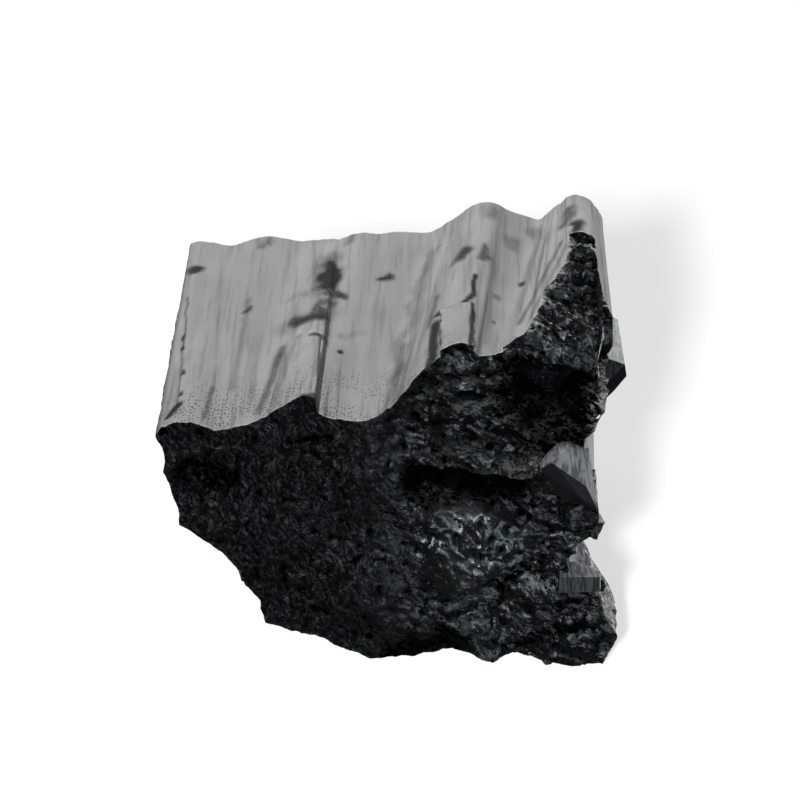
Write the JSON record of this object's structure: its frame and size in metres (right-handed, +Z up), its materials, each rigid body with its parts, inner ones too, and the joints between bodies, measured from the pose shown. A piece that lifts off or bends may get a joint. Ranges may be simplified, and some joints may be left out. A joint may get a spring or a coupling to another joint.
{
  "type": "tourmaline crystal",
  "caption": "Natural black tourmaline: a short broken length of ribbed prism, with a level striated top, rough breaks at both ends and below, and a flat patch to rest on.",
  "frame": {"origin": "on the surface that the stone rests on, under the middle of its bounding box", "axes": "+Z up, away from the surface it rests on; the crystal's long axis and its ribs run along Y, with the leaning rough break towards -Y; +X to the right, across the ribs"},
  "size_m": [0.0527, 0.0473, 0.0345],
  "materials": {
    "black_tourmaline": "glassy natural black mineral, satin where it grew and glinting where it broke"
  },
  "bodies": {
    "root": {"tourmaline_crystal": "black_tourmaline"}
  },
  "joints": []
}
